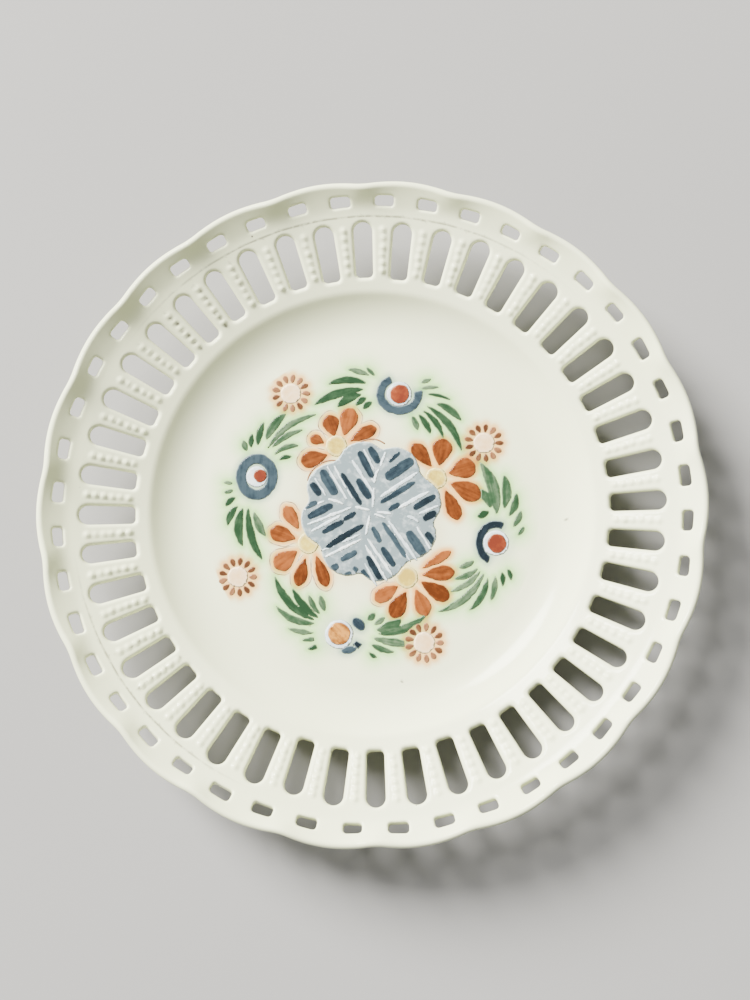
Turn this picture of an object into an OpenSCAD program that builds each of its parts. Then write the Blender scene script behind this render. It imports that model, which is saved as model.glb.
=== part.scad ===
// Round porcelain plate with an openwork ribbon border and an enamel painted floor.
// Millimetres, +Z up. The origin is the middle of the foot's bearing face.

/* [Plate] */
// Diameter over the scallop peaks
plate_d = 201; // [190:1:212]
// Number of scallops round the edge
scallops = 22; // [18:1:24]
// Depth of the dips between the scallops
scallop_depth = 1.4; // [0.6:0.2:2.4]
// Thickness of the body, square to its surface
body_t = 3.6; // [3:0.1:4.2]
// Radius of the flat painted floor
floor_r = 54; // [54:0.5:57]
// Steepest angle of the wall round the floor
wall_angle = 40; // [34:1:42]
// Angle of the pierced rim
rim_angle = 18.6; // [16:0.2:22]
// Angle of the surface at the upturned edge
edge_angle = 40; // [36:1:44]

/* [Foot] */
// Height of the foot ring
foot_h = 2.4; // [1.8:0.2:3.6]
// Mean radius of the foot ring
foot_r = 51.5; // [47:0.5:51.5]
// Width of the foot ring where it joins the body
foot_w = 4.6; // [3.6:0.2:5]

/* [Piercing] */
// Radius at the middle of the long slots
slot_r = 80.5; // [79:0.5:82]
// Length of a long slot along the rim's slope
slot_l = 17; // [15:0.2:17.4]
// Width of a long slot at its inner end
slot_w_in = 5.2; // [4.8:0.1:5.6]
// Width of a long slot at its rounded outer end
slot_w_out = 5.9; // [5.2:0.1:6.4]
// Radius at the middle of the short slots near the edge
short_r = 94.3; // [93.5:0.1:95]
// Size of a short slot around the plate
short_w = 6; // [4.6:0.2:7]
// Size of a short slot across the rim
short_l = 3.4; // [2.4:0.2:3.8]

/* [Beads] */
// Beads along each bar
beads = 6; // [3:1:6]
// Diameter of a bead
bead_d = 2.3; // [1.6:0.1:2.6]
// Height of a bead
bead_h = 0.45; // [0.3:0.05:0.7]

/* [Painting] */
// Thickness of one coat of enamel
coat = 0.1; // [0.06:0.02:0.2]
// Turn of the painting against the slots
paint_turn = -1.4; // [-4:0.1:4]
// Radius of the middle flower
flower_r = 22; // [20:0.5:23]
// Direction of the first dividing line of the middle flower
flower_turn = 35; // [20:1:50]

/* [Hidden] */
$fn = 48;

slots = 2 * scallops;
pitch = 360 / slots;
floor_z = foot_h + body_t;
wall_bend = 21;        // radius of the hollow between floor and wall
brow_bend = 6;         // radius of the brow between wall and rim
bar_inset = 1.2;       // how far the slots reach past the bars at both ends
crease_r = 90.3;       // where the edge starts to turn up
band_r = 91.4;         // joint between the rim band and the scalloped edge

// A station is [radius, height, angle] of the upper surface.
function bend(s, radius, to) = let (side = to > s[2] ? 1 : -1)
    [s[0] + side * radius * (sin(to) - sin(s[2])), s[1] + side * radius * (cos(s[2]) - cos(to)), to];
function bends(s, radius, to, n) = [for (i = [0:n]) bend(s, radius, s[2] + (to - s[2]) * i / n)];
function along(s, r) = [r, s[1] + (r - s[0]) * tan(s[2]), s[2]];
function upper(s) = [s[0], s[1]];
function lower(s) = [s[0] + body_t * sin(s[2]), s[1] - body_t * cos(s[2])];
function section(list) = concat([for (s = list) upper(s)],
                                [for (i = [len(list) - 1:-1:0]) lower(list[i])]);

floor_end = [floor_r, floor_z, 0];
wall_top = bend(floor_end, wall_bend, wall_angle);
brow_end = bend(wall_top, brow_bend, rim_angle);
slot_mid = along(brow_end, slot_r);
half_bar = (slot_l / 2 - bar_inset) * cos(rim_angle);
bar_in = along(brow_end, slot_r - half_bar);
bar_out = along(brow_end, slot_r + half_bar);
crease = along(brow_end, crease_r);
peak_r = plate_d / 2;
edge_bend = (peak_r - crease_r) / (sin(edge_angle) - sin(rim_angle));
function edge_at(r) = let (a = asin(sin(rim_angle) + (r - crease_r) / edge_bend))
    bend(crease, edge_bend, a);

module ring(list) { rotate_extrude($fn = 96) polygon(section(list)); }
module around(n, first = 0) { for (i = [0:n - 1]) rotate([0, 0, first + i * 360 / n]) children(); }
module square_to(s) { translate([s[0], 0, s[1]]) rotate([0, -s[2], 0]) children(); }

// One long slot: squarer inner end, half-round outer end.
module long_slot() {
    corner = 1.2;
    outer = slot_w_out / 2;
    inner = slot_w_in / 2;
    square_to(slot_mid) linear_extrude(4 * body_t, center = true) union() {
        translate([slot_l / 2 - outer, 0]) circle(outer);
        polygon([[-slot_l / 2 + corner, -inner], [slot_l / 2 - outer, -outer],
                 [slot_l / 2 - outer, outer], [-slot_l / 2 + corner, inner]]);
        translate([-slot_l / 2, corner - inner]) square([2 * corner, 2 * (inner - corner)]);
        for (side = [-1, 1]) translate([-slot_l / 2 + corner, side * (inner - corner)]) circle(corner);
    }
}

// One short slot, with rounded corners, on the axis of a bar.
module short_slot() {
    corner = 0.9;
    x = short_l / 2;
    y = short_w / 2;
    square_to(edge_at(short_r)) linear_extrude(4 * body_t, center = true) union() {
        square([2 * x, 2 * (y - corner)], center = true);
        square([2 * (x - corner), 2 * y], center = true);
        for (a = [-1, 1]) for (b = [-1, 1]) translate([a * (x - corner), b * (y - corner)]) circle(corner);
    }
}

// The foot: a low ring, narrower at its unglazed bearing face.
module foot_ring() {
    taper = 0.9;
    color("tan") rotate_extrude($fn = 96) polygon([
        [foot_r - foot_w / 2, foot_h], [foot_r - foot_w / 2 + taper, 0.4],
        [foot_r - foot_w / 2 + 1.4 * taper, 0], [foot_r + foot_w / 2 - 1.4 * taper, 0],
        [foot_r + foot_w / 2 - taper, 0.4], [foot_r + foot_w / 2, foot_h]]);
}

module well_floor() {
    color("ivory") translate([0, 0, foot_h]) cylinder(r = floor_r, h = body_t, $fn = 96);
}

// The hollow wall and the brow, up to the inner ends of the slots.
module well_wall() {
    color("ivory") difference() {
        ring(concat(bends(floor_end, wall_bend, wall_angle, 9),
                    bends(wall_top, brow_bend, rim_angle, 2), [bar_in]));
        around(slots) long_slot();
    }
}

module openwork_bars() {
    color("ivory") difference() {
        ring([bar_in, bar_out]);
        around(slots) long_slot();
    }
}

// A row of low beads down the middle of each bar.
module bar_beads() {
    cap_r = (pow(bead_d / 2, 2) + pow(bead_h, 2)) / (2 * bead_h);
    room = 2 * half_bar - bead_d - 0.6;
    color("white") around(slots, pitch / 2) for (i = [0:beads - 1])
        square_to(along(brow_end, slot_r + room * (i / (beads - 1) - 0.5)))
            intersection() {
                translate([0, 0, bead_h - cap_r]) sphere(cap_r);
                translate([-bead_d, -bead_d, 0]) cube([2 * bead_d, 2 * bead_d, 2 * bead_h]);
            }
}

// The plain band between the long slots and the edge.
module rim_band() {
    color("ivory") difference() {
        ring([bar_out, crease, edge_at(band_r)]);
        around(slots) long_slot();
    }
}

// The edge's outline: each scallop is an arc of a circle through its peak and its two dips.
function scallop_edge(a) = let (
    dip_r = peak_r - scallop_depth,
    half = 180 / scallops,
    middle = (peak_r * peak_r - dip_r * dip_r) / (2 * (peak_r - dip_r * cos(half))),
    off = a - 2 * half * round(a / (2 * half)))
    middle * cos(off) + sqrt(pow(peak_r - middle, 2) - pow(middle * sin(off), 2));

// The upturned edge with its short slots.
module scalloped_edge() {
    steps = 5;
    reach = peak_r + 1;
    outline = 360 / scallops / 10;
    color("ivory") difference() {
        intersection() {
            ring([for (i = [0:steps]) edge_at(band_r + (reach - band_r) * i / steps)]);
            linear_extrude(60)
                polygon([for (a = [0:outline:359.9]) scallop_edge(a) * [cos(a), sin(a)]]);
        }
        around(slots, pitch / 2) short_slot();
    }
}

// ---- Painting, on the floor ----

// A stroke runs from a to b, bowed to its left, and is widest at the share `belly` of its length.
// A blunt stroke keeps its width nearly to its ends.
function across(v) = [-v[1], v[0]] / norm(v);
function stroke(a, b, w, bow = 0, belly = 0.5, blunt = 0.8, n = 8) = let (
    d = b - a, up = across(d), p = ln(0.5) / ln(belly),
    mid = [for (i = [0:n]) let (t = i / n) a + t * d + 4 * bow * t * (1 - t) * up],
    off = [for (i = [0:n]) let (t = i / n)
        across(d + 4 * bow * (1 - 2 * t) * up) * w / 2 * pow(max(0, sin(180 * pow(t, p))), blunt)])
    concat([for (i = [0:n]) mid[i] + off[i]], [for (i = [n - 1:-1:1]) mid[i] - off[i]]);
function arc(c, r, from, to, n) = [for (i = [0:n]) let (t = from + (to - from) * i / n)
    [c[0] + r[0] * cos(t), c[1] + r[1] * sin(t)]];
// A band of width w that follows an oval of half axes r round c.
function band(c, r, w, from, to, n = 18) =
    concat(arc(c, r + [w, w] / 2, from, to, n), arc(c, r - [w, w] / 2, to, from, n));

module enamel(level = 0) {
    translate([0, 0, floor_z + level * coat]) linear_extrude(coat) rotate(paint_turn) children();
}
module strokes(list, belly, blunt, n = 8) {
    for (s = list) polygon(stroke(s[0], s[1], s[2], s[3], belly, blunt, n));
}

// Leaves are [root, tip, width, bow]; each ring has a spray to either side of it.
LEAVES = [
    // upper ring, left and right
    [[1, 43], [-1.7, 45.6], 1.2, 0], [[-0.5, 43], [-7.6, 45], 1.6, -0.3],
    [[-1.5, 40.5], [-14, 40.2], 2.4, -1.3], [[-2, 38.6], [-18.6, 33.4], 2.8, -1.4],
    [[-3, 37], [-10.9, 32.8], 3, -0.9], [[-1.5, 36], [-5, 33.4], 2.2, -0.3],
    [[0.3, 34.6], [-2.8, 32.4], 1.9, -0.2],
    [[15.5, 40.5], [18.8, 41.8], 1.2, 0], [[15.6, 38.8], [21.3, 39], 1.2, 0.2],
    [[17.5, 37], [25, 35], 1.1, 0.4], [[20, 34], [28.3, 28.2], 2.3, 1],
    [[17, 33.4], [28.3, 18.3], 2.4, 2.1], [[16, 31.8], [22.5, 22.8], 1.8, 1.1],
    [[14.6, 30.6], [18.5, 24.2], 2, 0.5], [[12.6, 30], [14.6, 25.4], 1.9, 0.2],
    // left ring, above and below
    [[-39.2, 19.2], [-40.5, 22.6], 1.8, 0.2], [[-37.8, 20], [-37.6, 24.6], 1.8, 0.3],
    [[-35.8, 20.8], [-33.9, 28.4], 2.2, 0.5], [[-33.2, 22.4], [-26.8, 31.1], 2.9, 0.9],
    [[-33, 19.5], [-16.8, 30.7], 2, 2.3], [[-31.5, 20], [-21.3, 25.8], 1.9, 1],
    [[-30.6, 17.8], [-22.8, 20.7], 1.8, 1.1], [[-29.2, 16.2], [-25, 17.3], 1.4, 0.3],
    [[-43.6, 8.8], [-46.5, 9.2], 1.2, 0], [[-43.4, 6.6], [-46.3, 6], 1.4, 0],
    [[-42.6, 4.4], [-45.7, 1.6], 1.9, -0.4], [[-41.8, 1.8], [-45, -4.6], 2.3, -0.8],
    [[-40.2, 1.4], [-40, -11.3], 2.9, -1.5], [[-38.6, 1.6], [-33.7, -15.6], 2.6, -1.5],
    [[-36.8, 0], [-32.8, -8], 2.4, -0.5],
    // right ring, above and below
    [[36.6, 0], [32.7, -1.8], 2.4, 0.2], [[37.2, 0.8], [32.5, 6.8], 3, -1],
    [[38.8, -1.4], [33.7, 15.4], 3.8, -1.7], [[41.2, 0.6], [41.2, 11.3], 3.1, -0.9],
    [[42.6, -1.8], [45.2, 5.6], 2.3, -0.7], [[44, -5], [46.5, 0.2], 1.9, -0.4],
    [[45.3, -7.6], [47.3, -4.8], 1.4, -0.2],
    [[31.8, -15.6], [27, -17.5], 2, 0.3], [[33, -17.8], [25.5, -21], 1.9, 0.7],
    [[34, -18.5], [24.3, -25.2], 1.9, 0.9], [[35, -19], [20.2, -31.3], 2.4, 2.4],
    [[36, -20.5], [30, -31], 2.2, 1.3], [[38.3, -20], [36.8, -28], 1.9, 0.5],
    [[40.3, -18.8], [40.6, -23.5], 1.6, 0.2], [[42, -18], [43.2, -21.5], 1.4, 0.3],
    // lower ring, left and right
    [[-14.2, -31.2], [-15.9, -26.2], 2, 0.1], [[-15.8, -32], [-19.4, -26], 1.8, 0.5],
    [[-16, -33.3], [-24.6, -23.8], 2.4, 1.1], [[-17, -34], [-30.2, -19.8], 2.6, 2.4],
    [[-17, -34.8], [-29.7, -29.3], 2.2, 1.7], [[-17.5, -37.7], [-25.8, -36.3], 1.6, 0.4],
    [[-16.3, -39.5], [-21.3, -40], 1.3, 0], [[-15.3, -41.2], [-19.7, -42.7], 1.4, 0.2],
    [[-1, -33.8], [1.2, -31.8], 2.2, 0], [[1, -35.2], [4.4, -33], 1.8, 0],
    [[1.5, -36.6], [9.3, -33.3], 3.6, -1.1], [[2, -38], [17.5, -31.8], 2.5, -1.6],
    [[0.5, -39.2], [14, -41.3], 2.4, -0.4], [[0, -41.2], [7.3, -43.6], 1.9, -0.4],
    [[-0.7, -43.6], [2, -45.3], 1.3, -0.2]];

// Half flowers: petals as [root, tip, width, bow], fanned round a yellow centre.
CENTRES = [[-10.9, 20.6], [20.2, 10.2], [-19.6, -10], [11.2, -20.6]];
PETALS = [
    [[-13.6, 17.8], [-22.4, 15.8], 5.4, 0.2], [[-14.8, 21.4], [-19.4, 23.6], 3.2, 0],
    [[-11.6, 23.6], [-13.6, 30.6], 5.2, 0], [[-8.6, 23.8], [-6.2, 32.8], 5.8, 0],
    [[-6.8, 22], [1.8, 26.2], 4.2, 0.3],
    [[19, 13.8], [12.8, 21.4], 4.6, 0], [[21.2, 14], [22.8, 23], 6.2, 0],
    [[24, 11.8], [32.6, 14.8], 6.6, -0.2], [[24.4, 8.8], [34.2, 4], 6, 0.3],
    [[23, 6.8], [27.2, -3], 4.6, 0],
    [[-22.6, -5.6], [-27.2, 1.8], 4.2, 0], [[-23.4, -8.8], [-31.8, -5.8], 5.2, 0],
    [[-23, -12.4], [-30.2, -17.6], 6, 0], [[-20.4, -14.4], [-22.8, -23.6], 4.2, 0],
    [[-17.2, -13.6], [-13.6, -23.8], 3.9, 0],
    [[15.6, -18], [25, -12.4], 2.8, 0], [[15.6, -19.8], [26.2, -19], 4.8, 0],
    [[15.2, -21.8], [24.4, -27.4], 5, 0], [[13.8, -24.2], [17.4, -32.6], 5, 0],
    [[11, -24.8], [6.4, -33.2], 5.4, 0], [[8.6, -23.2], [1, -27.8], 4.8, 0]];
centre_r = 3.3;

// Stripes of the middle flower: [from, to, width, bow].
STRIPES = [
    [[-4.1, 19.2], [0.5, 10.3], 2.4, 0], [[-1, 20.6], [2.4, 14.8], 2.5, 0.2],
    [[4.3, 10], [13.4, 16.2], 3.8, 0.2], [[2.4, 2.4], [14, 9.4], 2, 0],
    [[5.1, 0.2], [9, 2.4], 2, 0], [[5.4, 15.2], [9, 18.8], 1.5, 0],
    [[13, 0.6], [20.3, 4.8], 2.4, 0.2], [[16, -2.6], [20.6, -0.5], 2.5, 0.2],
    [[11.1, -6], [16.8, -14.2], 3.2, 0], [[16.8, -6.4], [20.5, -11], 2.3, 0],
    [[3.1, -3.1], [11, -14.8], 1.8, 0.2], [[3.1, -11], [7.5, -17.4], 2.3, 0],
    [[0.3, -4.6], [3, -10], 2, 0], [[-1.5, -13.6], [3.7, -22.5], 2.2, 0],
    [[-3, -18], [-0.2, -22.9], 2.1, 0], [[-14.5, -11.6], [-2, -4], 2.2, 0],
    [[-9.6, -15.4], [-4.2, -12.5], 2.2, 0], [[-15.5, -6.7], [-8.4, -2.9], 2.1, 0],
    [[-8.7, -2.8], [-4.6, -0.3], 1.9, 0], [[-10, -21.1], [-6, -19.1], 2, 0],
    [[-13, -18.3], [-10, -16.8], 2.4, 0], [[-5.6, -17.2], [-4.2, -18.8], 1.7, 0],
    [[-20.2, -2], [-11.8, 2.2], 2.6, 0], [[-20.9, 1.2], [-16.8, 3], 2, 0],
    [[-15.8, 13.4], [-11, 4.8], 3.2, 0], [[-18.9, 9.2], [-15.9, 4.8], 2.4, 0],
    [[-9.6, 12.4], [-2.9, 1.6], 2, 0], [[-4.6, 10.4], [-0.2, 3.6], 2.6, 0]];

// Pale lines between the stripes, most of them in pairs.
LINES = [
    [[2.2, 3.9], [15, 12.4], 1.2, 0], [[7.6, 0.4], [18.6, 6.4], 1.1, 0],
    [[-6.6, 2.2], [-14.4, 14.8], 0.8, 0], [[-5.2, 2.8], [-12, 14.8], 0.8, 0],
    [[0.6, 5.6], [-6.4, 16.8], 1, 0], [[1.4, 8.2], [-4.6, 18], 0.6, 0],
    [[-5.6, 1.4], [-20.4, -4.4], 0.9, 0], [[-8.8, -1], [-19.2, -6.6], 0.9, 0],
    [[-2.6, -7], [-16, -12.6], 0.8, 0], [[-2.4, -8.5], [-15, -14.6], 0.9, 0],
    [[-1.4, -8.2], [7, -20.4], 1, 0], [[-2.2, -10], [5.2, -22], 1, 0],
    [[5.2, -2.6], [14.6, -16], 1.1, 0], [[4.4, -3], [12.6, -16.4], 0.6, 0],
    [[-14, 4.6], [-17.8, 10.6], 0.7, 0], [[-14, 3.6], [-21.4, 0.1], 0.7, 0],
    [[-8.4, 2], [-14, 3.8], 0.8, -0.3], [[1.2, 12.8], [-2.6, 19.9], 0.8, 0],
    [[0.9, 8.4], [2.6, 13.8], 0.8, 0.3], [[2.6, 13.4], [4.6, 19], 0.7, 0],
    [[14.4, -1], [21.6, 1.8], 0.8, 0], [[13.8, -4.2], [18.8, -12.4], 0.8, 0],
    [[11, -1.6], [15, -3.6], 1, 0.3], [[-2.4, -15.4], [2, -23.6], 0.7, 0],
    [[-0.2, 0.3], [-5.2, 1.4], 0.9, 0], [[0.5, 0.9], [0.9, 7.8], 0.9, 0],
    [[1.4, -0.3], [6.6, -0.8], 0.9, 0], [[-0.3, -1], [-1.7, -7.8], 0.9, 0],
    [[0.8, -0.9], [4.9, -2.2], 0.8, 0]];

// Painted rings as [middle, half axes of the band, band width, from, to, eye radius, eye middle].
RINGS = [
    [[8.8, 37], [6, 5.3], 2.6, 115, 370, 3, [8.9, 37]],
    [[-36, 10.9], [5, 5.7], 3.2, 0, 360, 2, [-35, 11.2]],
    [[38.7, -10], [5.2, 5.8], 2.3, 65, 245, 2.9, [39, -10.1]],
    [[-9.8, -38.2], [6.8, 5.6], 2.2, 318, 334, 3.4, [-9.8, -38]]];
// The lower ring is broken: two more patches, as strokes.
PATCHES = [[[-5.6, -33.2], [-2, -36.8], 3, 0], [[-9.2, -43.4], [-4.2, -42.4], 2.2, 0]];

ROSETTES = [[-25.5, 37.4], [35.2, 21.3], [-41.5, -20.5], [16.5, -40.7]];
rosette_r = 4.7;
rosette_petals = 13;

// Eight rounded half petals: deep notches at the dividing lines, shallow ones between.
function notch(a, at, depth, sharp) = depth * pow((1 + cos(4 * (a - at))) / 2, sharp);
function flower_edge(a) = flower_r * (1 - notch(a, flower_turn, 0.12, 6)
                                        - notch(a, flower_turn + 45, 0.1, 12));
module flower_area(spread = 0) {
    polygon([for (a = [0:3:357]) (flower_edge(a) + spread) * [cos(a), sin(a)]]);
}
module dark_stripes() { strokes(STRIPES, 0.5, 0.2, 14); }
module ring_area() { for (r = RINGS) translate(r[0]) circle(r[1][0] + r[2] / 2); }
module centres_area(spread = 0) { for (c = CENTRES) translate(c) circle(centre_r + spread); }

module flower_ground() { color("lightsteelblue") enamel() flower_area(); }
module flower_cobalt_strokes() {
    color("darkslategray") enamel(1) intersection() { dark_stripes(); flower_area(-0.3); }
}

// The lines stop where a dark stripe crosses them.
module flower_white_lines() {
    color("white") enamel(1) difference() {
        strokes(LINES, 0.5, 0.25);
        dark_stripes();
    }
}

// Thin brown lines round the two upper lobes.
module flower_outlines() {
    color("saddlebrown") enamel() difference() {
        union() {
            polygon(band([-12.3, 8.2], [7.8, 7.8], 0.35, 60, 170));
            polygon(band([0, 16], [6.7, 6.7], 0.35, 50, 175));
        }
        flower_area();
        centres_area();
        strokes(PETALS, 0.64, 0.6);
    }
}
module orange_petals() {
    color("chocolate") enamel() difference() {
        strokes(PETALS, 0.64, 0.6);
        flower_area();
        centres_area();
    }
}
module yellow_centres() {
    color("khaki") enamel() difference() { centres_area(); flower_area(); }
}
module leaf_strokes() {
    color("seagreen") enamel() difference() {
        strokes(LEAVES, 0.5, 0.75);
        strokes(PETALS, 0.64, 0.6);
        ring_area();
        rosettes_area();
    }
}
module rosettes_area() { for (c = ROSETTES) translate(c) circle(rosette_r + 1.5); }
module painted_ring(r) {
    if (r[4] - r[3] < 360) polygon(band(r[0], r[1], r[2], r[3], r[4], 24));
    else difference() {
        polygon(arc(r[0], r[1] + [r[2], r[2]] / 2, 0, 350, 35));
        polygon(arc(r[0], r[1] - [r[2], r[2]] / 2, 0, 350, 35));
    }
}
module blue_rings() {
    color("steelblue") enamel() {
        for (r = RINGS) painted_ring(r);
        strokes(PATCHES, 0.5, 0.4);
    }
}
module ring_grounds() {
    color("aliceblue") enamel() for (r = RINGS)
        translate(r[0]) circle(min(r[1][0], r[1][1]) - r[2] / 2 - 0.1);
}
module ring_eyes() {
    color("firebrick") enamel(1) for (r = RINGS) translate(r[6]) circle(r[5]);
}
module small_rosette_petals() {
    color("sienna") enamel() for (c = ROSETTES) translate(c)
        for (k = [0:rosette_petals - 1]) rotate(k * 360 / rosette_petals)
            polygon(stroke([rosette_r - 1.4, 0], [rosette_r + 1.5, 0], 1.6, 0, 0.6, 0.6, 6));
}
module small_rosette_centres() {
    color("peachpuff") enamel() for (c = ROSETTES) translate(c) circle(rosette_r - 1.5);
}

foot_ring();
well_floor();
well_wall();
openwork_bars();
bar_beads();
rim_band();
scalloped_edge();
flower_ground();
flower_cobalt_strokes();
flower_white_lines();
flower_outlines();
orange_petals();
yellow_centres();
leaf_strokes();
blue_rings();
ring_grounds();
ring_eyes();
small_rosette_petals();
small_rosette_centres();
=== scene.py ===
import math

import bmesh
import bpy
import numpy as np
from mathutils.geometry import delaunay_2d_cdt
from mathutils.kdtree import KDTree
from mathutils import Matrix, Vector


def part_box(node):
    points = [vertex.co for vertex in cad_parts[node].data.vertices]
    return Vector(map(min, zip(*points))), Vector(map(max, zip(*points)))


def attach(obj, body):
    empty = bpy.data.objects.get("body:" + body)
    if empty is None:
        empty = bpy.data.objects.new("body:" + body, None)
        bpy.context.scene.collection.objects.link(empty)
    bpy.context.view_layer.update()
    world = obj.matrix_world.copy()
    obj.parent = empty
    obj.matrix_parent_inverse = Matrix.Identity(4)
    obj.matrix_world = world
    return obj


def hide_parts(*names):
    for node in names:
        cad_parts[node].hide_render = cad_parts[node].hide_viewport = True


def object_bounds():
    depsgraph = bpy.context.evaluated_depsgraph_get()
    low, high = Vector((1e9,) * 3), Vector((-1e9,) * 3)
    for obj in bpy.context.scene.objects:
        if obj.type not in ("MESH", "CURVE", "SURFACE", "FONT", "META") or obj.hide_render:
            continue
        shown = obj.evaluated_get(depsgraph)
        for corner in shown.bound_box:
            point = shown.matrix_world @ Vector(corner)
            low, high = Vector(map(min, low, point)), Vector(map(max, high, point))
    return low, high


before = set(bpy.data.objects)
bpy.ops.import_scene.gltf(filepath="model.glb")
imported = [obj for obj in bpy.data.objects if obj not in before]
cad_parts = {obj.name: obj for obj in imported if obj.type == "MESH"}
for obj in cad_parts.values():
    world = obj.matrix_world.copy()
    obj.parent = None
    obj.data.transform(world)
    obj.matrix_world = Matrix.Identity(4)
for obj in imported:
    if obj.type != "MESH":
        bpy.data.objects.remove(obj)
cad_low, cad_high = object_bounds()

rng = np.random.default_rng(44)

# ---------------------------------------------------------------- driving dimensions
# Lengths are millimetres up to the point where a mesh is written, and angles are radians.
MM = 0.001
FLOOR_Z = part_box("well_floor")[1].z / MM
FLOOR_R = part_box("well_floor")[1].x / MM
EDGE_R = cad_high.x / MM - 0.05
SCALLOPS = 22
SLOTS = 2 * SCALLOPS
PITCH = 2 * math.pi / SLOTS
BODY_T = 3.6
LIP_T = 2.7                       # thickness at the edge
WALL_BEND, WALL_ANGLE = 21.0, math.radians(40)
BROW_BEND, RIM_ANGLE = 6.0, math.radians(18.6)
CREASE_R, EDGE_ANGLE = 90.3, math.radians(40)
DIP = 1.4                         # depth of the dips between scallops
EDGE_LIFT = 0.95                  # the rounded lip stands up to the height of the edge
WALL_R = FLOOR_R + WALL_BEND * math.sin(WALL_ANGLE)
BROW_R = WALL_R + BROW_BEND * (math.sin(WALL_ANGLE) - math.sin(RIM_ANGLE))
EDGE_BEND = (EDGE_R - CREASE_R) / (math.sin(EDGE_ANGLE) - math.sin(RIM_ANGLE))
JOINT_R = 70.4                    # where the well piece meets the rim piece
SLOT_R, SHORT_R = 80.5, 94.35     # middles of the long and the short slots
SHORT_END_R = 97.6                # outer border of the short slots' cells
SCALLOP_R, FLUTE_R = 91.5, 93.5   # where the scallops and their flutes start
FOOT_R, FOOT_HIGH = 51.5, FLOOR_Z - BODY_T
LIP_R = EDGE_R - 0.5 * LIP_T * (1 + math.sin(EDGE_ANGLE))      # where the lip's round starts

SEAM_TURN = math.radians(60)      # only the cut faces turn more sharply than this
DIVISIONS = 12                    # mesh divisions around one pitch
COLUMNS = SLOTS * DIVISIONS


# ---------------------------------------------------------------- the body's surface
def smooth(t):
    """0 to 1 with soft ends."""
    t = np.clip(t, 0, 1)
    return t * t * (3 - 2 * t)


def slope(r):
    """Angle of the upper surface at radius r: floor, hollow wall, brow, rim, upturned edge."""
    rising = np.select(
        [r < FLOOR_R, r < WALL_R, r < BROW_R, r < CREASE_R],
        [0 * r, (r - FLOOR_R) / WALL_BEND,
         math.sin(WALL_ANGLE) - (r - WALL_R) / BROW_BEND, math.sin(RIM_ANGLE) + 0 * r],
        math.sin(RIM_ANGLE) + (r - CREASE_R) / EDGE_BEND)
    return np.arcsin(rising)


RADII = np.linspace(0, EDGE_R + 1, 8001)
STEP = RADII[1] - RADII[0]
RISE = np.tan(slope(RADII))
HEIGHTS = FLOOR_Z + np.concatenate([[0], np.cumsum((RISE[1:] + RISE[:-1]) / 2 * STEP)])


def phase(theta):
    """0 at the peak of a scallop, 1 at a dip."""
    turn = theta / (2 * PITCH)
    return 2 * np.abs(turn - np.round(turn))


def scallop(theta):
    """How far the edge falls back from the peaks: a round lobe that meets the next in a soft dip."""
    t = phase(theta)
    return -DIP * np.where(t < 0.8, t * t, 0.8 - 4 * (1 - t) ** 2) / 0.8


def flute(theta):
    """The lobes are scooped, and a low ridge runs in from each dip."""
    t = phase(theta)
    return 0.45 * np.exp(-((1 - t) / 0.28) ** 2) - 0.3 * np.clip(1 - (t / 0.75) ** 2, 0, 1)


def body_thickness(r):
    """The body thins towards the edge."""
    return BODY_T + (LIP_T - BODY_T) * smooth((r - CREASE_R) / (EDGE_R - CREASE_R))


def place(r, theta, depth):
    """The point at `depth` square below the upper surface, where the plain profile has radius r."""
    tilt = slope(r)
    out = smooth((r - SCALLOP_R) / (EDGE_R - SCALLOP_R))
    flare = smooth((r - FLUTE_R) / (EDGE_R - FLUTE_R - 1))
    warp = 0.12 * np.sin(2 * theta + 0.7) * smooth((r - FLOOR_R) / 40)
    radius = r + out * scallop(theta) + depth * np.sin(tilt)
    z = np.interp(r, RADII, HEIGHTS) + EDGE_LIFT * out + flare * flute(theta) + warp
    return np.stack([radius * np.cos(theta), radius * np.sin(theta), z - depth * np.cos(tilt)], -1)


# ---------------------------------------------------------------- beads on the bars
BEADS = 6
BEAD_PITCH, BEAD_WIDE, BEAD_HIGH = 2.4, 1.3, 0.55
bead_r = SLOT_R + BEAD_PITCH * (np.arange(BEADS) - (BEADS - 1) / 2) + rng.normal(0, 0.1, (SLOTS, BEADS))
bead_side = rng.normal(0, 0.1, (SLOTS, BEADS))
bead_high = BEAD_HIGH * (1 + rng.normal(0, 0.15, (SLOTS, BEADS)))
gap_side = rng.normal(0, 0.25, (SLOTS, BEADS + 1))
gap_darkness = rng.uniform(0.4, 1.3, (SLOTS, BEADS + 1))


def beads(r, theta):
    """Height of the soft beads, in a row along the middle of each bar."""
    bar = np.floor(theta / PITCH).astype(int)
    side = r * (theta - (bar + 0.5) * PITCH)
    bar = bar % SLOTS
    height = 0 * r
    for i in range(BEADS):
        away = ((r - bead_r[bar, i]) / math.cos(RIM_ANGLE)) ** 2 + (side - bead_side[bar, i]) ** 2
        height = np.maximum(height, bead_high[bar, i] * np.clip(1 - away / BEAD_WIDE ** 2, 0, 1) ** 1.5)
    return height


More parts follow.
